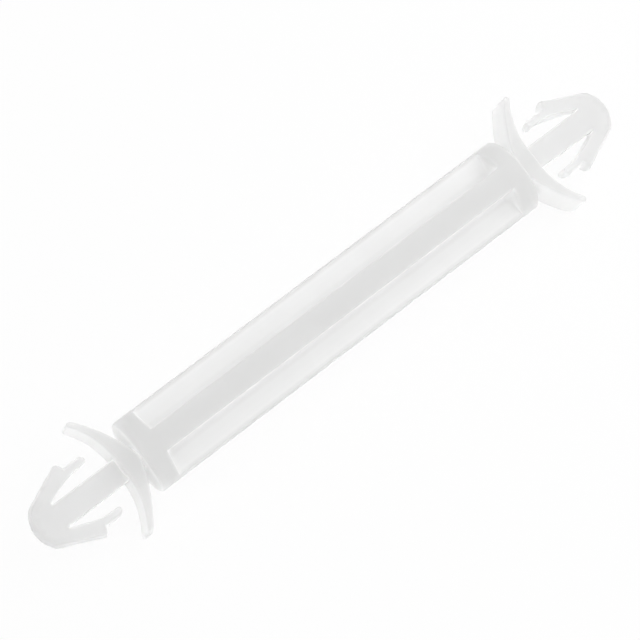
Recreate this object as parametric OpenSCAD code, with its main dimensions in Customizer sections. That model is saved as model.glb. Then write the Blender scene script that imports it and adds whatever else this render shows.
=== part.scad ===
// Double-ended snap-in spacer for circuit boards, moulded in one piece.
// A round body with a cross shaped middle carries the same head at each
// end: a pair of curved tension wings and a split arrowhead.
// X runs along the body. The piece lies on its two collars and on one
// wing tip at each end, as it comes to rest on a flat surface.

/* [Body] */
// Length of the body between its two end faces
body_length = 31.8; // [12:0.1:60]
// Outside diameter of the body
body_d = 5.4; // [4.8:0.1:7]
// Length of the full round collar at each end of the body
collar_length = 1.45; // [0.8:0.05:4]
// Radius that rounds the edges of the end faces
collar_edge_r = 0.15; // [0.05:0.01:0.4]
// Thickness of the four ribs between the collars
rib_thickness = 1.7; // [1.2:0.05:2.4]
// Radius in the corner where two ribs meet
rib_corner_r = 0.3; // [0.05:0.05:0.6]

/* [Arrowhead] */
// Length from an end face of the body to the tip of the nose
head_length = 8.1; // [7.6:0.05:10]
// Depth of the shank and the arrowhead from front to back
head_depth = 1.7; // [1:0.05:2.2]
// Width of the shank between the two slots
shank_width = 1.7; // [1.2:0.05:2.2]
// Radius of the rounded nose
nose_r = 2.17; // [1.9:0.01:2.6]
// Angle from the axis at which the nose meets the flanks
nose_angle = 46; // [35:1:60]
// Distance across the two shoulders
shoulder_span = 5.74; // [5.2:0.02:6.6]
// Distance from the end face to the shoulders
shoulder_offset = 4.47; // [4:0.01:5]
// How far the foot of each ledge lies nearer the body than its shoulder
ledge_lean = 0.26; // [0:0.01:0.5]

/* [Tails and slots] */
// Distance across the outer faces of the two tails
tail_span = 4.66; // [4.2:0.02:5]
// Thickness of each tail
tail_thickness = 0.59; // [0.4:0.01:0.8]
// Distance from the end face to the tips of the tails
tail_offset = 2.78; // [2.4:0.01:3.6]
// How far the round end of each tail bulges
tail_bulge = 0.2; // [0.05:0.01:0.2]
// Distance from the end face to the sharp end of each slot
slot_end = 6.37; // [5.8:0.01:6.6]
// Angle of the inner face of each arm to the axis
arm_angle = 22; // [18:0.5:26]
// Length of the curve from the arm to the straight tail, each side of its corner
tail_blend = 0.8; // [0.2:0.05:0.9]

/* [Tension wings] */
// Distance across the tips of the two wings
wing_span = 8.8; // [7.6:0.1:10]
// Depth of the wings from front to back
wing_depth = 3.5; // [2.4:0.1:4.4]
// Distance from the end face to the middle of each wing tip
wing_tip_offset = 2.35; // [1.9:0.05:3]
// Thickness of a wing at its tip
wing_tip_thickness = 0.4; // [0.3:0.02:0.6]
// Angle of a wing tip from square to the axis
wing_tip_angle = 36; // [20:1:50]
// Distance on the axis from the end face to the front of the wings
wing_root_thickness = 1.4; // [1:0.05:1.8]
// Radius of the front face of a wing, toward the arrowhead
wing_front_r = 5.8; // [4:0.1:9]
// Radius of the back face of a wing, toward the body
wing_back_r = 12; // [8:0.5:20]
// Radius of the corners at each wing tip
wing_corner_r = 0.5; // [0.2:0.05:0.9]

/* [Hidden] */
$fn = 96;
// Distance that joined shapes run into one another
overlap = 0.1;
// Distance of the round trimming surface outside the flat faces
trim_gap = 0.03;
// Pieces in each curve that is drawn point by point
arc_steps = 10;
body_r = body_d / 2;
pocket_length = body_length - 2 * collar_length;
shank_half = shank_width / 2;
tail_outer = tail_span / 2;
tail_inner = tail_outer - tail_thickness;
tail_flat = tail_offset + tail_bulge;
nose_centre = head_length - nose_r;
wing_tip_r = wing_tip_thickness / 2;
// Corner between the straight arm and the straight tail, on the slot side
tail_corner = [slot_end - (tail_inner - shank_half) / tan(arm_angle), tail_inner];
tail_blend_r = tail_blend / tan(arm_angle / 2);
tail_bulge_r = (pow(tail_thickness / 2, 2) + pow(tail_bulge, 2)) / (2 * tail_bulge);
// Middle of the corner circle of a wing, across and down from the axis
wing_corner = [wing_span / 2 + trim_gap - wing_corner_r, wing_depth / 2 - wing_corner_r];
// Roll about the axis that brings one wing corner down to the level of the collars
rest_roll = asin((body_r - wing_corner_r) / norm(wing_corner)) - atan(wing_corner[1] / wing_corner[0]);

// Points of an arc from p to q, with its centre on the right of that way
function arc(p, q, r, n) =
    let (
        d = q - p,
        v = d / norm(d),
        u = [v[1], -v[0]],
        half = asin(norm(d) / 2 / r),
        c = (p + q) / 2 + u * r * cos(half)
    )
    [for (i = [0:n]) let (t = half * (2 * i / n - 1)) c - u * r * cos(t) + v * r * sin(t)];

function backwards(list) = [for (i = [len(list) - 1:-1:0]) list[i]];

function swapped(list) = [for (p = list) [p[1], p[0]]];

// Point of the nose at its meeting with the upper flank, grown outward
function knee(grow) =
    [nose_centre, 0] + (nose_r + grow) * [cos(nose_angle), sin(nose_angle)];

// Outer points of one arm from the foot of the ledge to the nose
function arm_outer(grow) = [
    [shoulder_offset - ledge_lean - grow, tail_outer + grow],
    [shoulder_offset - grow, shoulder_span / 2 + grow],
    knee(grow)
];

// Round nose as a sector about its own centre
module nose(grow) {
    far = 2 * nose_r;
    intersection() {
        circle(nose_r + grow);
        polygon([
            [0, 0],
            far * [cos(nose_angle), sin(nose_angle)],
            [far, 0],
            far * [cos(nose_angle), -sin(nose_angle)]
        ]);
    }
}

// One arm with its tail, above the axis
module arm() {
    tail_end = arc([tail_flat, tail_inner], [tail_flat, tail_outer], tail_bulge_r, arc_steps);
    blend = arc(
        tail_corner - [tail_blend, 0],
        tail_corner + tail_blend * [cos(arm_angle), -sin(arm_angle)],
        tail_blend_r,
        arc_steps
    );
    polygon(concat(
        tail_end,
        arm_outer(0),
        [[knee(0)[0], 0], [slot_end, 0], [slot_end, shank_half]],
        backwards(blend)
    ));
}

module head_outline() {
    arm();
    mirror([0, 1]) arm();
    translate([nose_centre, 0]) nose(0);
    translate([-overlap, -shank_half]) square([slot_end + 2 * overlap, shank_width]);
}

// Round surface that trims the edges of the flat arrowhead
module head_trim() {
    rotate([0, 90, 0]) rotate_extrude() {
        polygon(swapped(concat(
            [[-2 * overlap, 0], [-2 * overlap, tail_outer + trim_gap]],
            arm_outer(trim_gap),
            [[knee(trim_gap)[0], 0]]
        )));
        intersection() {
            translate([0, nose_centre]) rotate(90) nose(trim_gap);
            translate([0, nose_centre]) square(2 * nose_r);
        }
    }
}

module arrowhead() {
    intersection() {
        linear_extrude(height = head_depth, center = true) head_outline();
        head_trim();
    }
}

// One wing above the axis, as a leaf between two arcs with a round tip
module wing() {
    tip = [wing_tip_offset, wing_span / 2 - wing_tip_r];
    across = [cos(wing_tip_angle), -sin(wing_tip_angle)];
    along = [sin(wing_tip_angle), cos(wing_tip_angle)];
    back = arc([0, 0], tip - wing_tip_r * across, wing_back_r, arc_steps);
    front = arc([wing_root_thickness, 0], tip + wing_tip_r * across, wing_front_r, arc_steps);
    round_tip = [
        for (a = [30:30:150]) tip + wing_tip_r * (sin(a) * along - cos(a) * across)
    ];
    polygon(concat(
        [[-overlap, -overlap]],
        back,
        round_tip,
        backwards(front),
        [[wing_root_thickness, -overlap]]
    ));
}

// Outline of the pair of wings seen along the axis
module wing_plan() {
    for (side = [-1, 1], face = [-1, 1])
        translate([side * wing_corner[0], face * wing_corner[1]]) circle(wing_corner_r);
    square([2 * (wing_corner[0] + wing_corner_r), 2 * wing_corner[1]], center = true);
    square([2 * wing_corner[0], wing_depth], center = true);
}

module wings() {
    intersection() {
        linear_extrude(height = wing_depth + 2 * overlap, center = true) {
            wing();
            mirror([0, 1]) wing();
        }
        translate([-2 * overlap, 0, 0]) rotate([90, 0, 90])
            linear_extrude(height = head_length) wing_plan();
    }
}

// Half section of the body with rounded end edges
module body_section() {
    half = body_length / 2;
    flat_half = half - collar_edge_r;
    translate([0, -half]) square([body_r - collar_edge_r, body_length]);
    translate([0, -flat_half]) square([body_r, 2 * flat_half]);
    for (end = [-1, 1])
        translate([body_r - collar_edge_r, end * flat_half]) circle(collar_edge_r);
}

// Space between two ribs, with a round corner at their roots
module pocket() {
    translate([rib_thickness / 2, rib_thickness / 2]) difference() {
        square(body_r);
        difference() {
            translate([-overlap, -overlap]) square(rib_corner_r + overlap);
            translate([rib_corner_r, rib_corner_r]) circle(rib_corner_r);
        }
    }
}

module body() {
    difference() {
        rotate([0, 90, 0]) rotate_extrude() body_section();
        for (turn = [0:90:270])
            rotate([turn, 0, 0]) translate([-pocket_length / 2, 0, 0]) rotate([90, 0, 90])
                linear_extrude(height = pocket_length) pocket();
    }
}

module standoff() {
    color([0.93, 0.93, 0.91])
        translate([0, 0, body_r]) rotate([rest_roll, 0, 0]) union() {
            body();
            for (end = [0, 1])
                mirror([end, 0, 0]) translate([body_length / 2, 0, 0]) {
                    arrowhead();
                    wings();
                }
        }
}

standoff();
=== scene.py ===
"""Snap-in circuit board spacer in milky nylon: its moulded skin, its material and a pale stage.

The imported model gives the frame, and its solid stays for collision. The skin is one closed surface, joined
from a body, two pairs of wings and two arrowheads, each worked out as a grid in millimetres. The working
frame has its origin at the middle of the body, X along it, Y across the wings and Z square to them. The
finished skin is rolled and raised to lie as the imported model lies.
"""

import math

import bmesh
import bpy
import numpy as np
from mathutils import Matrix, Vector
from mathutils.geometry import delaunay_2d_cdt


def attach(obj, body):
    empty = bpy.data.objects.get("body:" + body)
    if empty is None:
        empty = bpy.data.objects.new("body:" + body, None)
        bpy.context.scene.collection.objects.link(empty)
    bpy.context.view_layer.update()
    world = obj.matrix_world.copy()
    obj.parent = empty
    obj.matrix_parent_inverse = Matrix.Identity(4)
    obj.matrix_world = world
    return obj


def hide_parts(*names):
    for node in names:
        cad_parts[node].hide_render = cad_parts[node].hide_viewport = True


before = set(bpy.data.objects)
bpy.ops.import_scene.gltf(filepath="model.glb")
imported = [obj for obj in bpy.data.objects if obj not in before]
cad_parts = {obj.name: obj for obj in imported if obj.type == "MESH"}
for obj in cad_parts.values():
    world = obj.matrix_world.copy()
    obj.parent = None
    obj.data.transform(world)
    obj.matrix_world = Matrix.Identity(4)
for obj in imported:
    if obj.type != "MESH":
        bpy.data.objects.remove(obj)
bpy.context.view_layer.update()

bl_info = {
    "name": "Snap-in board spacer",
    "version": (1, 0, 0),
    "blender": (4, 5, 0),
    "location": "View3D > Sidebar > Spacer",
    "description": "Builds the nylon spacer's skin, its material and the stage",
    "category": "Object",
}

MM = 0.001
WHITE = (1.0, 1.0, 1.0, 1.0)

# Points on each small arc of an outline
ARC_POINTS = 9
# Size of the triangles on the flat faces of the arrowheads, in millimetres
CAP_SPACING = 0.3
# Distances in millimetres within which points are merged, in one piece and in the joined skin
DOUBLES, JOINED_DOUBLES = 1e-5, 2e-4
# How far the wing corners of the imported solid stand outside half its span, in millimetres
TRIM_GAP = 0.03
# Edges shorter than this, in millimetres, lie in the small curves between two faces
SHORT_EDGE = 0.06
# Angle between two faces from which their edge is drawn sharp
SHARP_ANGLE = math.radians(38)

# Ways about a normal along which the nylon is felt, as rings of so many ways with a lean in radians
INWARD_RINGS = ((6, 0.2), (6, 0.65))
OUTWARD_RINGS = ((8, 0.4), (14, 0.8), (18, 1.2))
# Distance between the points that are tested on such a way, in millimetres
FEEL_STEP = 0.12

# The soft lamp above the right end: its place and its width, in metres
KEY_PLACE, KEY_SIZE = (0.06, -0.01, 0.08), 0.1
# The two shadowless lamps: their distance from the piece's middle, in metres, and their light's width
GLOW_DISTANCE, GLOW_ANGLE = 0.5, math.radians(179)

# The photograph's camera: the turns about Z, Y and X that bring the working frame into its view, in degrees,
# its place along the axes of that view, in millimetres, and its focal length and the frame's width in pixels
VIEW_TURNS = (37.05, 14.47, -2.31)
VIEW_PLACE = (-0.593, -0.433, 168.0)
FOCAL_PIXELS, FRAME_PIXELS = 2571.7, 640
SENSOR_WIDTH = 36.0


# Settings


def length_setting(name, description, default):
    """A length, given in millimetres and kept in metres."""
    return bpy.props.FloatProperty(
        name=name, description=description, default=default * MM, min=0.0, unit="LENGTH", precision=5
    )


def angle_setting(name, description, default):
    """An angle, given in degrees and kept in radians."""
    return bpy.props.FloatProperty(
        name=name, description=description, default=math.radians(default), subtype="ANGLE"
    )


def plain_setting(name, description, default):
    """A number from 0 up."""
    return bpy.props.FloatProperty(name=name, description=description, default=default, min=0.0)


def share_setting(name, description, default):
    """A share from 0 to 1."""
    return bpy.props.FloatProperty(
        name=name, description=description, default=default, min=0.0, max=1.0, subtype="FACTOR"
    )


def colour_setting(name, description, default):
    """A colour."""
    return bpy.props.FloatVectorProperty(
        name=name, description=description, subtype="COLOR", size=3, default=default, min=0.0, max=1.0
    )


class SpacerBodySizes(bpy.types.PropertyGroup):
    """Sizes of the round body and its pockets"""

    length: length_setting("Length", "Length between the two end faces", 31.8)
    diameter: length_setting("Diameter", "Outside diameter of the body", 5.4)
    collar: length_setting("Collar", "Length of the full round collar at each end", 1.45)
    rib: length_setting("Rib", "Thickness of the four ribs", 1.7)
    rib_root: length_setting("Rib root", "Radius in the corner where two ribs meet", 0.3)
    rib_edge: length_setting("Rib edge", "Radius on the outer edges of the ribs", 0.12)
    rim: length_setting("Rim", "Radius round each end face", 0.2)
    pocket_root: length_setting("Pocket end", "Length of the curve from the floor to the end wall", 0.5)
    pocket_edge: length_setting("Pocket edge", "Length of the curve from the end wall to the collar", 0.2)


class SpacerHeadSizes(bpy.types.PropertyGroup):
    """Sizes of the shank and the split arrowhead"""

    length: length_setting("Length", "Distance from the end face to the nose", 8.1)
    depth: length_setting("Depth", "Depth of the arrowhead from front to back", 1.7)
    shank: length_setting("Shank", "Width of the shank", 1.7)
    nose_radius: length_setting("Nose", "Radius of the rounded nose", 2.17)
    nose_angle: angle_setting("Nose angle", "Angle from the axis at which the nose meets the flanks", 46.0)
    shoulder_span: length_setting("Shoulders", "Distance across the two shoulders", 5.74)
    shoulder_offset: length_setting("Shoulder place", "Distance from the end face to the shoulders", 4.47)
    ledge_lean: length_setting("Ledge lean", "How far the foot of a ledge lies nearer the body", 0.26)
    tail_span: length_setting("Tails", "Distance across the outer faces of the tails", 4.66)
    tail_thickness: length_setting("Tail thickness", "Thickness of each tail", 0.59)
    tail_offset: length_setting("Tail place", "Distance from the end face to the tips of the tails", 2.78)
    slot_end: length_setting("Slot end", "Distance from the end face to the end of each slot", 6.37)
    arm_angle: angle_setting("Arm angle", "Angle of the inner face of each arm to the axis", 22.0)
    edge: length_setting("Edge", "Radius on the edges of the flat faces", 0.1)


class SpacerWingSizes(bpy.types.PropertyGroup):
    """Sizes of a pair of tension wings"""

    span: length_setting("Span", "Distance across the tips of the wings", 8.8)
    depth: length_setting("Depth", "Depth of the wings from front to back", 3.5)
    tip_offset: length_setting("Tip place", "Distance from the end face to the middle of a wing tip", 2.35)
    tip_thickness: length_setting("Tip thickness", "Thickness of a wing at its tip", 0.4)
    tip_angle: angle_setting("Tip angle", "Angle of a wing tip from square to the axis", 36.0)
    root_thickness: length_setting("Root", "Distance on the axis from the end face to the wings' front", 1.4)
    front_radius: length_setting("Front radius", "Radius of the wing face toward the arrowhead", 5.8)
    back_radius: length_setting("Back radius", "Radius of the wing face toward the body", 12.0)
    corner: length_setting("Corner", "Radius of the corners at each wing tip", 0.5)
    edge: length_setting("Edge", "Radius on the long edges of the wings", 0.12)


class SpacerNylonLook(bpy.types.PropertyGroup):
    """Colours, painted light and finish of the nylon"""

    # Painted light: the thin colour stands in for light that shines through thin nylon, and the thick colour
    # for deep nylon, which lets little through
    thin: colour_setting("Thin colour", "Colour where the nylon is thin", (0.883, 0.883, 0.882))
    thick: colour_setting("Thick colour", "Colour where the nylon is thick", (0.69, 0.69, 0.687))
    fade: length_setting("Fade", "Depth of nylon over which the thin colour fades to the thick one", 2.2)
    # Painted light: the hollows setting paints a glow beside walls of nylon, for light that would come
    # through them
    hollows: plain_setting("Hollows", "How much nearer the thin colour it is beside a wall of nylon", 0.4)
    roughness: share_setting("Roughness", "Roughness of the moulded skin", 0.5)
    scatter: length_setting("Scatter", "Distance that light wanders under the skin", 0.4)


class SpacerStageLook(bpy.types.PropertyGroup):
    """Light and floor of the stage"""

    sky: plain_setting("Sky", "Strength of the sky, which casts soft shadows", 0.8)
    horizon: share_setting("Horizon", "Share of the strength at the horizon. Overhead it is more", 0.75)
    above: plain_setting("Above", "Strength of the shadowless light from above", 0.1)
    below: plain_setting("Below", "Strength of the shadowless light from below, off the card", 0.3)
    key: plain_setting("Key", "Power of the soft lamp above the right end, in watts", 0.018)
    shadow: share_setting("Shadow", "Share of the object's shadow that the camera sees on the floor", 0.12)
    floor: length_setting("Floor", "Width of the floor", 3000.0)


def in_mm(group):
    """The group's lengths in millimetres and its angles in radians, by name."""
    scales = {"LENGTH": MM, "ROTATION": 1}
    return {
        setting.identifier: getattr(group, setting.identifier) / scales[setting.unit]
        for setting in group.bl_rna.properties
        if setting.type == "FLOAT" and setting.unit in scales
    }


# Lines and turns


def unit(vectors):
    """The vectors, each divided by its length."""
    return vectors / np.linalg.norm(vectors, axis=-1, keepdims=True)


def turned(axis, angle):
    """The matrix of a turn about X, Y or Z, as the axis 0, 1 or 2: with the two other axes i and j in order,
    i goes to i * cos + j * sin and j to j * cos - i * sin."""
    i, j = (axis + 1) % 3, (axis + 2) % 3
    turn = np.eye(3)
    turn[i, i] = turn[j, j] = math.cos(angle)
    turn[i, j], turn[j, i] = -math.sin(angle), math.sin(angle)
    return turn


def between(p, q, count):
    """So many points, evenly spaced inside the line from p to q: p * (1 - s) + q * s for the shares s."""
    share = np.linspace(0, 1, count + 2)[1:-1, None]
    return p * (1 - share) + q * share


def corner_arcs(corners, radii):
    """Rounds the corners of a closed outline. Each corner p between the unit ways a and b to its neighbours,
    with the angle g between them, becomes an arc about p + (a + b) / |a + b| * r / sin(g / 2), from
    p + a * r / tan(g / 2) to p + b * r / tan(g / 2). Returns an array of corner, step and coordinate."""
    p = np.asarray(corners, float)
    r = np.asarray(radii, float)[:, None]
    a = unit(np.roll(p, 1, 0) - p)
    b = unit(np.roll(p, -1, 0) - p)
    half = np.arccos(np.clip((a * b).sum(1), -1, 1))[:, None] / 2
    centre = p + unit(a + b) * r / np.sin(half)
    first = (p + a * r / np.tan(half) - centre) / r
    last = (p + b * r / np.tan(half) - centre) / r
    turn = (np.pi - 2 * half)[:, :, None]
    s = np.linspace(0, 1, ARC_POINTS)[None, :, None]
    way = (np.sin((1 - s) * turn) * first[:, None] + np.sin(s * turn) * last[:, None]) / np.sin(turn)
    return centre[:, None] + way * r[:, :, None]


def arc_frame(p, q, radius):
    """The centre of the arc from p to q that has it on the right, the unit way u to it from the chord's
    middle, the chord's unit way v and half the arc's angle: with the half angle
    h = asin(|q - p| / (2 * radius)) the centre is (p + q) / 2 + u * radius * cos(h)."""
    chord = q - p
    length = np.linalg.norm(chord)
    v = chord / length
    u = np.array([v[1], -v[0]])
    half = math.asin(length / 2 / radius)
    return (p + q) / 2 + u * radius * math.cos(half), u, v, half


def arc_between(p, q, radius, t):
    """Points at the shares t of the arc from p to q: centre - u * radius * cos(g) + v * radius * sin(g), for
    the angles g from -h to h of arc_frame."""
    centre, u, v, half = arc_frame(p, q, radius)
    g = (2 * t[:, None] - 1) * half
    return centre - u * radius * np.cos(g) + v * radius * np.sin(g)


def outward(line):
    """Unit ways out of a closed clockwise line, square to the mean of the ways to and from each point."""
    way = unit(unit(np.roll(line, -1, 0) - line) + unit(line - np.roll(line, 1, 0)))
    return np.stack([-way[:, 1], way[:, 0]], -1)


# Meshes


def tidy_mesh(mesh, distance):
    """Merges points that lie within the distance of one another and drops faces without area."""
    bm = bmesh.new()
    bm.from_mesh(mesh)
    bmesh.ops.remove_doubles(bm, verts=bm.verts, dist=distance)
    bmesh.ops.dissolve_degenerate(bm, dist=distance, edges=bm.edges)
    bmesh.ops.recalc_face_normals(bm, faces=bm.faces)
    bm.to_mesh(mesh)
    bm.free()


def grid_faces(rows, columns):
    """Quads between the rows of a grid whose columns close on themselves."""
    i = np.arange(rows - 1)[:, None] * columns
    j = np.arange(columns)[None, :]
    k = (j + 1) % columns
    return np.stack([i + j, i + k, i + columns + k, i + columns + j], -1).reshape(-1, 4)


def flat_cap(line, spacing):
    """Triangles over a flat closed outline: inner points on a lattice of equal triangles, where they lie
    inside and clear of the outline, joined to it and to each other without crossing it. A point lies inside
    if the line from it along X crosses the outline an odd number of times. Returns the inner points and the
    triangles, in which the outline's points come first."""
    clearance = 0.6 * spacing
    inside_only, same_point = 1, 1e-9
    low, high = line.min(0), line.max(0)
    rows = np.arange(low[1], high[1], spacing * math.sqrt(3) / 2)
    x = np.arange(low[0], high[0], spacing)[None] + (np.arange(len(rows)) % 2)[:, None] * spacing / 2
    lattice = np.stack([x, rows[:, None] + 0 * x], -1).reshape(-1, 2)
    clear = np.linalg.norm(lattice[:, None] - line[None], axis=2).min(1) > clearance
    a, b = line[None], np.roll(line, -1, 0)[None]
    px, py = lattice[:, None, 0], lattice[:, None, 1]
    crossed = (a[..., 1] > py) != (b[..., 1] > py)
    rise = np.where(crossed, b[..., 1] - a[..., 1], 1.0)
    inside = (crossed & (px < a[..., 0] + (b[..., 0] - a[..., 0]) * (py - a[..., 1]) / rise)).sum(1) % 2 == 1
    inner = lattice[clear & inside]
    spots = [Vector(spot) for spot in np.concatenate([line, inner]).tolist()]
    points, _, triangles, *_ = delaunay_2d_cdt(spots, [], [list(range(len(line)))], inside_only, same_point)
    if len(points) != len(spots):
        raise RuntimeError("a flat face could not be filled")
    return inner, triangles


def closed_mesh(name, points, mirrored=False, cap_spacing=None):
    """A mesh from a grid of rows that close on themselves. Its first and last rows each shrink to a point or
    a line, or with a cap spacing they are flat outlines, which are filled with triangles of that size. A
    mirrored mesh is turned over in X."""
    rows, columns, _ = points.shape
    co = points.reshape(-1, 3)
    faces = grid_faces(rows, columns).tolist()
    if cap_spacing:
        for row in (0, rows - 1):
            line = points[row]
            inner, triangles = flat_cap(line[:, :2], cap_spacing)
            index = np.concatenate([row * columns + np.arange(columns), len(co) + np.arange(len(inner))])
            co = np.concatenate([co, np.column_stack([inner, np.full(len(inner), line[0, 2])])])
            faces += index[np.array(triangles)].tolist()
    if mirrored:
        co = co * [-1, 1, 1]
    mesh = bpy.data.meshes.new(name)
    mesh.from_pydata(co, [], faces)
    tidy_mesh(mesh, DOUBLES)
    mesh.validate()
    return mesh


def joined_skin(meshes):
    """One closed surface round all the meshes."""
    base, *others = [bpy.data.objects.new(mesh.name, mesh) for mesh in meshes]
    for part in [base, *others]:
        bpy.context.scene.collection.objects.link(part)
    for part in others:
        join = base.modifiers.new(part.name, "BOOLEAN")
        join.operation, join.solver, join.object = "UNION", "EXACT", part
    bpy.context.view_layer.update()
    skin = bpy.data.meshes.new_from_object(base.evaluated_get(bpy.context.evaluated_depsgraph_get()))
    for part in [base, *others]:
        bpy.data.objects.remove(part)
    tidy_mesh(skin, JOINED_DOUBLES)
    return skin


def vertex_vectors(mesh, name):
    """The places or the normals of a mesh's points, by the name that a vertex has for them."""
    flat = np.empty(len(mesh.vertices) * 3, np.float32)
    mesh.vertices.foreach_get(name, flat)
    return flat.reshape(-1, 3).astype(float)


# The body


def body_ring(size):
    """Section of the ribbed middle, as a closed line: along the outer circle over a rib, down its side,
    through the round root and up the side of the next rib, four times a quarter turn apart."""
    radius, half, root, edge = size["diameter"] / 2, size["rib"] / 2, size["rib_root"], size["rib_edge"]
    over_points, side_points = 12, 6
    top = math.sqrt(radius**2 - half**2)
    upper, tangent = np.array([half, top]), np.array([-top, half]) / radius
    # One quarter's corners. Its first and last lie on the circle's tangents, which give the outer edges
    # their turn
    corners = [upper + tangent, upper, [half, half], upper[::-1], (upper + tangent)[::-1]]
    arcs = corner_arcs(corners, [edge, edge, root, edge, edge])
    start = math.atan2(arcs[1, 0, 1], arcs[1, 0, 0])
    over = np.linspace(math.pi / 2, start, over_points)[:-1]
    outer = radius * np.stack([np.cos(over), np.sin(over)], -1)
    side = between(arcs[1, -1], arcs[2, 0], side_points)
    quarter = np.concatenate([outer, arcs[1], side, arcs[2], side[::-1, ::-1], arcs[3], outer[:0:-1, ::-1]])
    turns = np.arange(4) * -math.pi / 2
    spin = np.stack([np.cos(turns), -np.sin(turns), np.sin(turns), np.cos(turns)], -1).reshape(4, 2, 2)
    return np.einsum("tij,kj->tki", spin, quarter).reshape(-1, 2)


def body_rows(size):
    """Places along one half of the body and, at each, the share of the full circle and the inset from it, as
    three rows. The share is 0 in the pocket. It rises along a quarter ellipse to the foot of the end wall, up
    that steep wall, and along another quarter ellipse to 1 on the collar. The inset follows a quarter circle
    round the rim and then runs to the axis on the end face."""
    half, radius, rim = size["length"] / 2, size["diameter"] / 2, size["rim"]
    wall = half - size["collar"]
    low, over = size["pocket_root"], size["pocket_edge"]
    # Shares of the full circle at the foot and the top of the steep wall, and the wall's own length
    foot, high, steep = 0.5, 0.85, 0.02
    # Clear lengths before the end wall's foot, after its edge and before the rim
    before, after, beside = 0.4, 0.15, 0.1
    pocket_rows, curve_rows, collar_rows = 16, 8, 4
    # The rings on the end face, as shares of its flat radius
    rings = np.array([0.85, 0.7, 0.55, 0.4, 0.25, 0])
    g = np.linspace(0, np.pi / 2, curve_rows)
    parts = [
        (np.linspace(0, wall - low - before, pocket_rows), 0, 0),
        (wall - low * (1 - np.sin(g)), foot * (1 - np.cos(g)), 0),
        (wall + over * (1 - np.cos(g)) + steep, high + (1 - high) * np.sin(g), 0),
        (np.linspace(wall + over + after, half - rim - beside, collar_rows), 1, 0),
        (half - rim + rim * np.sin(g), 1, rim * (1 - np.cos(g))),
        (half, 1, radius - (radius - rim) * rings),
    ]
    return np.concatenate([np.stack(np.broadcast_arrays(*part)) for part in parts], 1)


def body_surface(size):
    """Grid over the body: at each place along it the section's points are moved outward to the circle of the
    same direction by the share of the full circle, and then toward the axis by the inset."""
    ring = body_ring(size)
    radius = size["diameter"] / 2
    rows = body_rows(size)
    x, share, inset = np.concatenate([rows[:, :0:-1] * [[-1], [1], [1]], rows], 1)
    reach = np.linalg.norm(ring, axis=1)
    way = ring / reach[:, None]
    length = (reach[None] + (radius - reach[None]) * share[:, None]) * (1 - inset / radius)[:, None]
    grid = np.empty((len(x), len(ring), 3))
    grid[..., 0] = x[:, None]
    grid[..., 1:] = length[..., None] * way[None]
    return grid


# The arrowhead


def head_outline(size, z):
    """Closed outline of the arrowhead at the height z, from the shank's root through the slot, round the
    tail, over the shoulder and the nose, and back along the other side. Its outer parts belong to a surface
    turned about the axis, so a distance r from the axis becomes sqrt(r * r - z * z)."""
    # How far the shank runs into the body, the radii of the outline's corners, and those of the tails' tips
    # as a share of the tails' thickness
    buried = 0.4
    root_r, slot_r, bend_r, ledge_r, shoulder_r, knee_r = 0.2, 0.05, 4.1, 0.1, 0.16, 0.9
    tip_roundness = 0.48
    nose_points = 14
    shank = size["shank"] / 2
    tail_in = size["tail_span"] / 2 - size["tail_thickness"]
    tail_out = math.sqrt((size["tail_span"] / 2) ** 2 - z**2)
    tip_r = tip_roundness * (tail_out - tail_in)
    shoulder = math.sqrt((size["shoulder_span"] / 2) ** 2 - z**2)
    nose = math.sqrt(size["nose_radius"] ** 2 - z**2)
    centre = size["length"] - size["nose_radius"]
    knee = [size["nose_radius"] * part(size["nose_angle"]) for part in (math.cos, math.sin)]
    angle = math.atan2(math.sqrt(knee[1] ** 2 - z**2), knee[0])
    knee = np.array([centre + nose * math.cos(angle), nose * math.sin(angle)])
    bend = size["slot_end"] - (tail_in - shank) / math.tan(size["arm_angle"])
    ledge = size["shoulder_offset"] - size["ledge_lean"]
    # Each corner, its radius and the points on the straight line to the next
    corners = [
        ([-buried, shank], root_r, 18),
        ([size["slot_end"], shank], slot_r, 4),
        ([bend, tail_in], bend_r, 0),
        ([size["tail_offset"], tail_in], tip_r, 0),
        ([size["tail_offset"], tail_out], tip_r, 3),
        ([ledge, tail_out], ledge_r, 0),
        ([size["shoulder_offset"], shoulder], shoulder_r, 8),
        (knee, knee_r, 0),
    ]
    # Two more close the outline, which gives the first and last corners their turn, and their own arcs
    # aren't used
    closing, closing_r = [knee + [math.sin(angle), -math.cos(angle)], [-buried, 0]], 0.01
    places, radii, fills = zip(*corners)
    arcs = corner_arcs([*places, *closing], [*radii, closing_r, closing_r])
    line = [arcs[0]]
    for i, fill in enumerate(fills[:-1]):
        line += [between(arcs[i, -1], arcs[i + 1, 0], fill), arcs[i + 1]]
    # The nose starts where the knee's arc, which takes r * tan(turn / 2) of it, ends
    turn = math.atan2(shoulder - knee[1], knee[0] - size["shoulder_offset"]) - (math.pi / 2 - angle)
    a = np.linspace(angle - knee_r * math.tan(abs(turn) / 2) / nose, 0, nose_points)[1:]
    front = np.stack([centre + nose * np.cos(a), nose * np.sin(a)], -1)
    upper = np.concatenate([*line, front])
    return np.concatenate([upper, upper[-2::-1] * [1, -1]])


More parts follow.
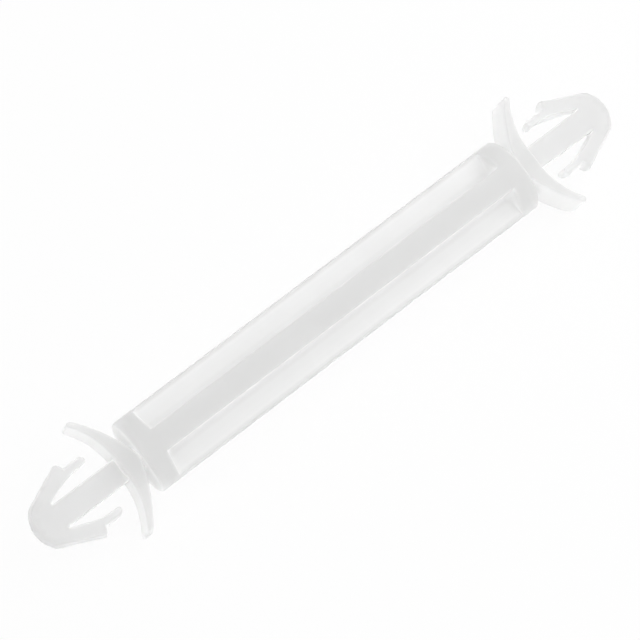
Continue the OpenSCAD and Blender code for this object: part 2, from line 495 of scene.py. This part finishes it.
def head_surface(size, start):
    """Grid over the arrowhead: its outline at a row of heights, drawn in along a quarter circle at each
    flat face."""
    half, edge = size["depth"] / 2, size["edge"]
    # How much further in the outline of a flat face lies, and the rows on the rounded edge and from there to
    # the middle
    further, edge_rows, upright = 0.03, 7, 4
    g = np.linspace(np.pi / 2, 0, edge_rows)
    side = np.linspace(half - edge, 0, upright + 1)[1:]
    heights = np.concatenate([[half], half - edge + edge * np.sin(g), side])
    inset = np.concatenate([[edge + further], edge * (1 - np.cos(g)), np.zeros(upright)])
    heights = np.concatenate([heights, -heights[-2::-1]])
    inset = np.concatenate([inset, inset[-2::-1]])
    rows = []
    for z, inward in zip(heights, inset):
        line = head_outline(size, z)
        line = line - outward(line) * inward
        rows.append(np.column_stack([line[:, 0] + start, line[:, 1], np.full(len(line), z)]))
    return np.stack(rows)


# The wings


def wing_tip(size):
    """The centre of a wing tip's circle, and the unit ways across the tip and out along it."""
    across = np.array([math.cos(size["tip_angle"]), -math.sin(size["tip_angle"])])
    along = np.array([math.sin(size["tip_angle"]), math.cos(size["tip_angle"])])
    return np.array([size["tip_offset"], size["span"] / 2 - size["tip_thickness"] / 2]), across, along


def wing_arcs(size, sunk):
    """Start, end and radius of a wing's two faces, from the axis to the tip: first the one toward the body,
    which starts the distance sunk behind the end face, and then the one toward the arrowhead."""
    tip, across, _ = wing_tip(size)
    reach = size["tip_thickness"] / 2 * across
    back = np.array([-sunk, 0]), tip - reach, size["back_radius"]
    front = np.array([size["root_thickness"], 0]), tip + reach, size["front_radius"]
    return back, front


def wing_surface(size, start):
    """Grid over a pair of wings: a rounded rectangle carried from tip to tip. Its middle runs halfway between
    the front and back arcs, and its thickness is the distance between them. Past the end of the arcs the
    thickness follows the half circle of the tip. Within the corner radius c of the tips, half the depth is
    lessened by c - sqrt(c * c - d * d) for a point at the distance d past where the corner starts."""
    tip_radius = size["tip_thickness"] / 2
    tip, across, along = wing_tip(size)
    # How far the back face is sunk into the collar at its root
    sunk = 0.05
    # Rows along the arcs and round the tip, and points of each corner and between two corners
    arc_rows, tip_rows, corner_points, side_points = 26, 8, 7, 6
    # The most that d may be as a share of c, and the edges' radius as a share of half the thickness
    most_corner, most_edge = 0.98, 0.9
    t = np.linspace(0, 1, arc_rows)
    back, front = (arc_between(*arc, t) for arc in wing_arcs(size, sunk))
    g = np.linspace(0, np.pi / 2, tip_rows + 1)[1:]
    middle = np.concatenate([(front + back) / 2, tip + tip_radius * np.sin(g)[:, None] * along])
    half = np.concatenate([(front - back) / 2, tip_radius * np.cos(g)[:, None] * across])
    thickness = np.linalg.norm(half, axis=1)
    thickness[-1] = 0
    half[-1] = across
    way = unit(half)
    # From one tip to the other, over the axis
    middle = np.concatenate([middle[:0:-1] * [1, -1], middle])
    way = np.concatenate([way[:0:-1] * [1, -1], way])
    thickness = np.concatenate([thickness[:0:-1], thickness])
    edge = np.minimum(size["edge"], most_edge * thickness)
    # The rounded rectangle: four quarter circles, with points between them on the two long sides
    turn = np.linspace(0, np.pi / 2, corner_points)
    quarter = (np.arange(4)[:, None] * np.pi / 2 + turn).ravel()
    side_n = np.repeat([1, -1, -1, 1], corner_points)
    side_z = np.repeat([1, 1, -1, -1], corner_points)
    n = side_n * (thickness - edge)[:, None] + edge[:, None] * np.cos(quarter)
    across_axis = np.abs(middle[:, 1:] + n * way[:, 1:])
    inside = np.clip(across_axis - (size["span"] / 2 - size["corner"]), 0, most_corner * size["corner"])
    depth = size["depth"] / 2 - size["corner"] + np.sqrt(size["corner"] ** 2 - inside**2)
    z = side_z * (depth - edge[:, None]) + edge[:, None] * np.sin(quarter)
    second = 2 * corner_points
    n_sides = [np.repeat(n[:, [i]], side_points, 1) for i in (second - 1, -1)]
    z_sides = [between(z[:, i], z[:, i + 1], side_points).T for i in (second - 1, -1)]
    n = np.concatenate([n[:, :second], n_sides[0], n[:, second:], n_sides[1]], 1)
    z = np.concatenate([z[:, :second], z_sides[0], z[:, second:], z_sides[1]], 1)
    grid = np.empty(n.shape + (3,))
    grid[..., :2] = middle[:, None] + n[..., None] * way[:, None]
    grid[..., 2] = z
    grid[..., 0] += start
    return grid


# What the nylon's colour follows


def inside_nylon(p, body, head, wing):
    """True where a point of the working frame lies in the nylon. Both ends and all four quarters are alike,
    so the test uses the absolute coordinates: the body without its pockets, the shank, the space between the
    two arcs of a wing, and the arrowhead between the inner and outer lines of its arm and before the circle
    of its nose."""
    x, y, z = np.abs(p[..., 0]), np.abs(p[..., 1]), np.abs(p[..., 2])
    s = x - body["length"] / 2
    rib = body["rib"] / 2
    pocket = (x < body["length"] / 2 - body["collar"]) & (y > rib) & (z > rib)
    middle = (s < 0) & (np.hypot(y, z) < body["diameter"] / 2) & ~pocket
    back, front = (arc_frame(*arc)[0] for arc in wing_arcs(wing, 0))
    in_back = np.hypot(s - back[0], y - back[1]) < wing["back_radius"]
    in_front = np.hypot(s - front[0], y - front[1]) < wing["front_radius"]
    leaf = in_back & ~in_front & (s > 0) & (s < front[0]) & (y < wing["span"] / 2) & (z < wing["depth"] / 2)
    nose_x = head["length"] - head["nose_radius"]
    knee_x = nose_x + head["nose_radius"] * math.cos(head["nose_angle"])
    knee_y = head["nose_radius"] * math.sin(head["nose_angle"])
    shank, tail_out, shoulder = head["shank"] / 2, head["tail_span"] / 2, head["shoulder_span"] / 2
    inner = shank + (head["slot_end"] - s) * math.tan(head["arm_angle"])
    inner = np.minimum(tail_out - head["tail_thickness"], inner)
    ledge = head["shoulder_offset"] - head["ledge_lean"] / 2
    outer = np.where(s < ledge, tail_out, np.interp(s, [ledge, knee_x], [shoulder, knee_y]))
    arm = (s > head["tail_offset"]) & (s < knee_x) & (y < outer) & ((y > inner) | (s > head["slot_end"]))
    nose = (s >= knee_x) & (np.hypot(s - nose_x, y) < head["nose_radius"])
    flat = (z < head["depth"] / 2) & (s > 0)
    return middle | leaf | (flat & ((y < shank) & (s < head["slot_end"]) | arm | nose))


def ways_round(normals, rings):
    """Unit ways about each normal n: n itself, and for each ring of k ways with the lean g the ways
    n * cos(g) + (a * cos(t) + b * sin(t)) * sin(g), at k equal turns t, with a and b square to n and each
    other. The way a is square to X too, or to Y where n lies nearly along X."""
    nearly = 0.8
    pick = np.where(np.abs(normals[:, :1]) < nearly, [[1.0, 0, 0]], [[0, 1.0, 0]])
    a = unit(np.cross(normals, pick))
    b = np.cross(normals, a)
    ways = [normals]
    for count, lean in rings:
        for turn in (np.arange(count) + lean) * 2 * math.pi / count:
            ways.append(normals * math.cos(lean) + (a * math.cos(turn) + b * math.sin(turn)) * math.sin(lean))
    return ways


# Painted light: this depth sets how much light is painted as shining through the nylon at each point
def nylon_depth(points, normals, sizes):
    """How far one looks into the nylon at each point: the mean length of straight ways inward before they
    leave it, up to the body's diameter. The first 0.4 mm always counts, since the skin's rounded corners
    stand off the plain shapes that are tested. From the edge of a pocket to the middle of the collar it is at
    least 0.7 of the diameter, as on the collar, so that no pale line runs along the edge."""
    first, always, least = 0.08, 0.4, 0.7
    body = sizes[0]
    total = 0
    ways = ways_round(-normals, INWARD_RINGS)
    for way in ways:
        going = np.ones(len(points), bool)
        for distance in np.arange(first, body["diameter"], FEEL_STEP):
            going &= inside_nylon(points + way * distance, *sizes) | (distance < always)
            total = total + going * FEEL_STEP
    # Painted light: from a pocket's edge into the collar the depth is raised, so that the painted
    # shine-through draws no pale line
    past = np.abs(points[:, 0]) - body["length"] / 2
    by_pocket = (past > -body["collar"]) & (past < -body["collar"] / 2)
    return np.maximum(total / len(ways), np.where(by_pocket, least * body["diameter"], 0))


# Painted light: this glow is painted into the nylon's colour, and no lamp gives it
def hollow_glow(points, normals, sizes):
    """How much light reaches each point through the nylon about it. With the share h of the straight ways
    outward that meet nylon again within 3 mm it is 27 / 4 * h * (1 - h) ** 2: nothing in the open, 1 beside a
    wall, and little deep in a gap. The share is lessened first where the light doesn't come through: on the
    flat faces of the arrowheads and wings by the fourth power of the normal's Z, on the end walls of the
    pockets, the ends of the tails and the wings beside the shank by the square of the normal's X, and wholly
    from a pocket's edge to the middle of the collar."""
    first, last = 0.15, 3
    body, head, wing = sizes
    total = 0
    ways = ways_round(normals, OUTWARD_RINGS)
    for way in ways:
        met = np.zeros(len(points), bool)
        for distance in np.arange(first, last, FEEL_STEP):
            met |= inside_nylon(points + way * distance, *sizes)
        total = total + met
    past = np.abs(points[:, 0]) - body["length"] / 2
    flat = np.where(past > 0, normals[:, 2] ** 4, 0)
    thick = (past < -body["collar"] / 2) | (past > wing["tip_offset"] + wing["tip_thickness"])
    # On the wings, which start off the end face, 1 over the width of the shank and falling to 0 at twice
    # that width
    off_face = 0.1
    beside = np.where(past > off_face, np.clip(2 - 2 * np.abs(points[:, 1]) / head["shank"], 0, 1), 0)
    ends = np.where(thick, 1, beside) * normals[:, 0] ** 2 + (thick & (past > -body["collar"]) & (past < 0))
    share = total / len(ways) * np.clip(1 - flat - ends, 0, 1)
    return 27 / 4 * share * (1 - share) ** 2


def close_pairs(mesh, points, reach):
    """Index pairs of the points that share an edge shorter than the reach."""
    pairs = np.empty(len(mesh.edges) * 2, np.int32)
    mesh.edges.foreach_get("vertices", pairs)
    pairs = pairs.reshape(-1, 2)
    return pairs[np.linalg.norm(points[pairs[:, 0]] - points[pairs[:, 1]], axis=1) < reach]


def spread(values, pairs, pick, times):
    """Values of points, each time replaced by the greatest or least among their own and their neighbours'."""
    for _ in range(times):
        ahead = values.copy()
        pick.at(ahead, pairs[:, 0], values[pairs[:, 1]])
        pick.at(ahead, pairs[:, 1], values[pairs[:, 0]])
        values = ahead
    return values


def store_measures(skin, points, sizes):
    """Puts the depth of nylon and the glow of the hollows on the skin's points, from which the material
    paints light into the nylon's colour. Over the small curves between two faces the greatest depth and the
    least glow hold, so that no pale line of painted light runs along an edge. Beyond the tips of the wings
    they hold further, which takes the arrowheads' narrow edges in."""
    body, _, wing = sizes
    normals = vertex_vectors(skin, "normal")
    pairs = close_pairs(skin, points, SHORT_EDGE)
    wings_end = body["length"] / 2 + wing["tip_offset"] + wing["tip_thickness"]
    beyond = pairs[np.abs(points[pairs[:, 0], 0]) > wings_end]
    more_times = 4
    # Each attribute's name, what it measures, which of two values holds, and how many points far
    measures = (("nylon_depth", nylon_depth, np.maximum, 2), ("hollow_glow", hollow_glow, np.minimum, 4))
    for name, measure, pick, times in measures:
        values = spread(measure(points, normals, sizes), pairs, pick, times)
        values = spread(values, beyond, pick, more_times).astype(np.float32)
        skin.attributes.new(name, "FLOAT", "POINT").data.foreach_set("value", values)


# The whole skin


def rest_pose(points, body, wing):
    """The points rolled about the axis until one corner of a wing tip at each end is level with the collars,
    raised to the floor, and in metres, and the roll's matrix. With the corner's centre y across and z down
    from the axis and its radius r, the roll is asin((R - r) / hypot(y, z)) - atan(z / y) for a body of
    radius R."""
    radius, corner = body["diameter"] / 2, wing["corner"]
    y, z = wing["span"] / 2 + TRIM_GAP - corner, wing["depth"] / 2 - corner
    turn = turned(0, math.asin((radius - corner) / math.hypot(y, z)) - math.atan(z / y))
    return (points @ turn.T + [0, 0, radius]) * MM, turn


class SPACER_OT_skin(bpy.types.Operator):
    """Builds the spacer's skin, in place of the plain solid"""

    bl_idname = "spacer.skin"
    bl_label = "Build the spacer"

    def execute(self, context):
        scene = context.scene
        sizes = [in_mm(group) for group in (scene.spacer_body, scene.spacer_head, scene.spacer_wings)]
        body, head, wing = sizes
        end = body["length"] / 2
        head_grid = head_surface(head, end)
        wing_grid = wing_surface(wing, end)
        meshes = [closed_mesh("middle", body_surface(body))]
        for mirrored in (False, True):
            meshes.append(closed_mesh("head", head_grid, mirrored, CAP_SPACING))
            meshes.append(closed_mesh("wings", wing_grid, mirrored))
        skin = joined_skin(meshes)
        points = vertex_vectors(skin, "co")
        store_measures(skin, points, sizes)
        lying, _ = rest_pose(points, body, wing)
        skin.vertices.foreach_set("co", lying.astype(np.float32).ravel())
        skin.update()
        skin.name = "standoff_skin"
        spacer = bpy.data.objects.new("standoff_skin", skin)
        scene.collection.objects.link(spacer)
        skin.shade_smooth()
        skin.set_sharp_from_angle(angle=SHARP_ANGLE)
        even = spacer.modifiers.new("even shading", "WEIGHTED_NORMAL")
        even.keep_sharp = True
        skin.materials.clear()
        skin.materials.append(nylon_material(scene.spacer_nylon))
        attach(spacer, "root")
        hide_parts("standoff")
        return {"FINISHED"}


# Materials


def node(tree, kind, *inputs, **settings):
    """A new node. A setting that an input is named for goes to that input, and the plain inputs go to the
    first ones in turn. An output that is given for an input is linked to it."""
    made = tree.nodes.new(kind)
    for key, value in [*settings.items(), *enumerate(inputs)]:
        if isinstance(key, str) and key not in made.inputs:
            setattr(made, key, value)
        elif isinstance(value, bpy.types.NodeSocket):
            tree.links.new(value, made.inputs[key])
        else:
            made.inputs[key].default_value = value
    return made


def maths(tree, operation, *inputs, **settings):
    """The result of a Math node."""
    return node(tree, "ShaderNodeMath", *inputs, operation=operation, **settings).outputs[0]


def noise(tree, place, scale, detail, roughness):
    """A noise by place in metres."""
    made = node(tree, "ShaderNodeTexNoise", Vector=place, Scale=scale, Detail=detail, Roughness=roughness)
    return made.outputs["Fac"]


def stretched(tree, value, low, high):
    """A noise whose usual span, from 0.3 to 0.7, is stretched to the span from low to high."""
    span = {"From Min": 0.3, "From Max": 0.7, "To Min": low, "To Max": high}
    return node(tree, "ShaderNodeMapRange", Value=value, **span).outputs["Result"]


def seen_rays(tree):
    """An output that is 1 for camera, glossy and transmission rays and 0 for the rest."""
    path = node(tree, "ShaderNodeLightPath").outputs
    seen_or_mirrored = maths(tree, "MAXIMUM", path["Is Camera Ray"], path["Is Glossy Ray"])
    return maths(tree, "MAXIMUM", seen_or_mirrored, path["Is Transmission Ray"])


def empty_material(name):
    """A material with its node tree, which is empty."""
    made = bpy.data.materials.new(name)
    made.use_nodes = True
    made.node_tree.nodes.clear()
    return made, made.node_tree


def nylon_material(look):
    """Natural nylon, a little cloudy, with a fine moulded grain and light that wanders under the skin. Its
    colour
    holds painted light: pale where little nylon lies behind the surface, as if light shone through it, greyer
    where much does, and with a painted glow in the hollows."""
    # How far the clouds change the thin colour's share, and the roughness down and up
    cloudiness, smoother, rougher = 0.035, 0.05, 0.06
    made, tree = empty_material("milky_nylon")
    place = node(tree, "ShaderNodeTexCoord").outputs["Object"]
    depth = node(tree, "ShaderNodeAttribute", attribute_name="nylon_depth").outputs["Fac"]
    hollow = node(tree, "ShaderNodeAttribute", attribute_name="hollow_glow").outputs["Fac"]
    cloud = noise(tree, place, scale=260.0, detail=3.0, roughness=0.55)
    grain = noise(tree, place, scale=5200.0, detail=2.0, roughness=0.5)
    grained = node(tree, "ShaderNodeBump", Height=grain, Strength=0.25, Distance=0.000006)
    # Painted light: the thin colour's share is exp(-depth / fade), from 1 on the thinnest edge to 0 deep in
    # the body, as light shining through the nylon would leave it, and more in the hollows, where a painted
    # glow is added
    thinness = maths(tree, "EXPONENT", maths(tree, "MULTIPLY", depth, -1.0 / (look.fade / MM)))
    # Painted glow: the hollows are made more pale, as light coming through the nylon about them would make
    # them
    painted_light_share = maths(tree, "MULTIPLY_ADD", hollow, look.hollows, thinness)
    cloudy = stretched(tree, cloud, -cloudiness, cloudiness)
    share = maths(tree, "ADD", painted_light_share, cloudy, use_clamp=True)
    thick, thin = (*look.thick, 1.0), (*look.thin, 1.0)
    colour = node(tree, "ShaderNodeMix", data_type="RGBA", A=thick, B=thin, Factor=share)
    finish = {
        "Base Color": colour.outputs["Result"],
        "Roughness": stretched(tree, cloud, look.roughness - smoother, look.roughness + rougher),
        "Normal": grained.outputs["Normal"],
        "IOR": 1.53,
        "Specular IOR Level": 0.25,
        "Subsurface Weight": 1.0,
        "Subsurface Radius": (1.0, 1.0, 1.0),
        "Subsurface Scale": look.scatter,
    }
    shader = node(tree, "ShaderNodeBsdfPrincipled", subsurface_method="BURLEY", **finish)
    node(tree, "ShaderNodeOutputMaterial", Surface=shader.outputs[0])
    return made


def floor_material(look):
    """Matt white card. The camera, mirrors and clear things see it mostly as plain white, with a share of its
    shading."""
    made, tree = empty_material("white_card")
    card = node(tree, "ShaderNodeBsdfDiffuse", Color=(0.93, 0.93, 0.93, 1.0)).outputs[0]
    white = node(tree, "ShaderNodeEmission", Strength=1.0).outputs[0]
    share = maths(tree, "MULTIPLY", seen_rays(tree), 1.0 - look.shadow)
    mix = node(tree, "ShaderNodeMixShader", share, card, white)
    node(tree, "ShaderNodeOutputMaterial", Surface=mix.outputs[0])
    return made


# The stage


def even_sky(look):
    """A white sky. Its strength toward a unit way of the height z is
    sky * (horizon + 1.5 * (1 - horizon) * z), which lights level faces as an even sky of the strength sky
    does and upright faces less. The camera, mirrors and clear things see it as plain white."""
    world = bpy.data.worlds.new("even_light")
    world.use_nodes = True
    tree = world.node_tree
    tree.nodes.clear()
    way = node(tree, "ShaderNodeTexCoord").outputs["Generated"]
    parts = node(tree, "ShaderNodeSeparateXYZ", way)
    upward = maths(tree, "MAXIMUM", parts.outputs["Z"], 0.0)
    rise, level = look.sky * 1.5 * (1.0 - look.horizon), look.sky * look.horizon
    strength = maths(tree, "MULTIPLY_ADD", upward, rise, level)
    sky = node(tree, "ShaderNodeBackground", Color=WHITE, Strength=strength).outputs[0]
    white = node(tree, "ShaderNodeBackground", Color=WHITE, Strength=1.0).outputs[0]
    mix = node(tree, "ShaderNodeMixShader", seen_rays(tree), sky, white)
    node(tree, "ShaderNodeOutputWorld", Surface=mix.outputs[0])
    return world


def soft_lamps(look):
    """The lamps and their places: a soft one above the right end, and two opposite ones whose light comes
    from a whole half space, casts no shadows and so passes through the nylon. Such a lamp of the energy
    pi * s lights a face square to it about as a sky of the strength s does."""
    key = bpy.data.lights.new("key", "AREA")
    key.size, key.energy = KEY_SIZE, look.key
    lamps = [(key, KEY_PLACE)]
    glows = (("above", GLOW_DISTANCE, look.above), ("below", -GLOW_DISTANCE, look.below))
    for name, height, strength in glows:
        glow = bpy.data.lights.new(name, "SUN")
        glow.angle, glow.energy, glow.use_shadow = GLOW_ANGLE, strength * math.pi, False
        glow.cycles.use_multiple_importance_sampling = False
        lamps.append((glow, (0, 0, height)))
    return lamps


def aim(thing, place, target, up):
    """Puts a lamp or camera at the place, looking at the target with the given way up."""
    back = unit(np.asarray(place, float) - target)
    right = unit(np.cross(up, back))
    top = np.cross(back, right)
    turn = Matrix(np.column_stack([right, top, back]).tolist()).to_4x4()
    turn.translation = place
    thing.matrix_world = turn


def photo_camera(body, wing):
    """The camera at the photograph's viewing angle. The product V of its turns brings the working frame into
    its view, so in that frame it stands at the transpose of V times its place, and the rows of V are its ways
    right, up and back. All of this is laid down as the piece is."""
    turns = zip((2, 1, 0), VIEW_TURNS)
    about_z, about_y, about_x = (turned(axis, math.radians(angle)) for axis, angle in turns)
    view = about_z @ about_y @ about_x
    (place,), lying = rest_pose((view.T @ np.array(VIEW_PLACE))[None], body, wing)
    _, up, back = view @ lying.T
    camera = bpy.data.cameras.new("camera")
    camera.sensor_width = SENSOR_WIDTH
    camera.lens = FOCAL_PIXELS / FRAME_PIXELS * SENSOR_WIDTH
    camera.clip_start, camera.clip_end = 0.005, 10.0
    eye = bpy.data.objects.new("camera", camera)
    aim(eye, place, place - back, up)
    return eye


class SPACER_OT_stage(bpy.types.Operator):
    """Sets the floor, the soft light and the camera"""

    bl_idname = "spacer.stage"
    bl_label = "Set the stage"

    def execute(self, context):
        scene = context.scene
        look = scene.spacer_stage
        half = look.floor / 2
        mesh = bpy.data.meshes.new("floor")
        corners = [(-half, -half, 0), (half, -half, 0), (half, half, 0), (-half, half, 0)]
        mesh.from_pydata(corners, [], [(0, 1, 2, 3)])
        mesh.materials.append(floor_material(look))
        floor = bpy.data.objects.new("floor", mesh)
        scene.collection.objects.link(floor)
        scene.world = even_sky(look)
        for lamp, place in soft_lamps(look):
            light = bpy.data.objects.new(lamp.name, lamp)
            light.visible_camera = False
            scene.collection.objects.link(light)
            aim(light, place, (0, 0, 0), (0, 1, 0))
        camera = photo_camera(in_mm(scene.spacer_body), in_mm(scene.spacer_wings))
        scene.collection.objects.link(camera)
        scene.camera = camera
        scene.view_settings.view_transform = "Standard"
        return {"FINISHED"}


# The add-on's panel and its registration

SECTIONS = (
    ("Body", "spacer_body", SpacerBodySizes),
    ("Arrowheads", "spacer_head", SpacerHeadSizes),
    ("Wings", "spacer_wings", SpacerWingSizes),
    ("Nylon", "spacer_nylon", SpacerNylonLook),
    ("Stage", "spacer_stage", SpacerStageLook),
)


class SPACER_PT_panel(bpy.types.Panel):
    """Lists the spacer's settings and its two steps"""

    bl_idname = "SPACER_PT_panel"
    bl_label = "Board spacer"
    bl_space_type = "VIEW_3D"
    bl_region_type = "UI"
    bl_category = "Spacer"

    def draw(self, context):
        for title, name, _ in SECTIONS:
            box = self.layout.box()
            box.label(text=title)
            group = getattr(context.scene, name)
            for setting in group.bl_rna.properties:
                if setting.identifier not in {"rna_type", "name"}:
                    box.prop(group, setting.identifier)
        self.layout.operator(SPACER_OT_skin.bl_idname)
        self.layout.operator(SPACER_OT_stage.bl_idname)


CLASSES = (*(group for _, _, group in SECTIONS), SPACER_OT_skin, SPACER_OT_stage, SPACER_PT_panel)


def register():
    for cls in CLASSES:
        bpy.utils.register_class(cls)
    for _, name, group in SECTIONS:
        setattr(bpy.types.Scene, name, bpy.props.PointerProperty(type=group))


def unregister():
    for _, name, _ in SECTIONS:
        delattr(bpy.types.Scene, name)
    for cls in reversed(CLASSES):
        bpy.utils.unregister_class(cls)


def main():
    register()
    bpy.ops.spacer.skin()
    bpy.ops.spacer.stage()


if __name__ == "__main__":
    main()
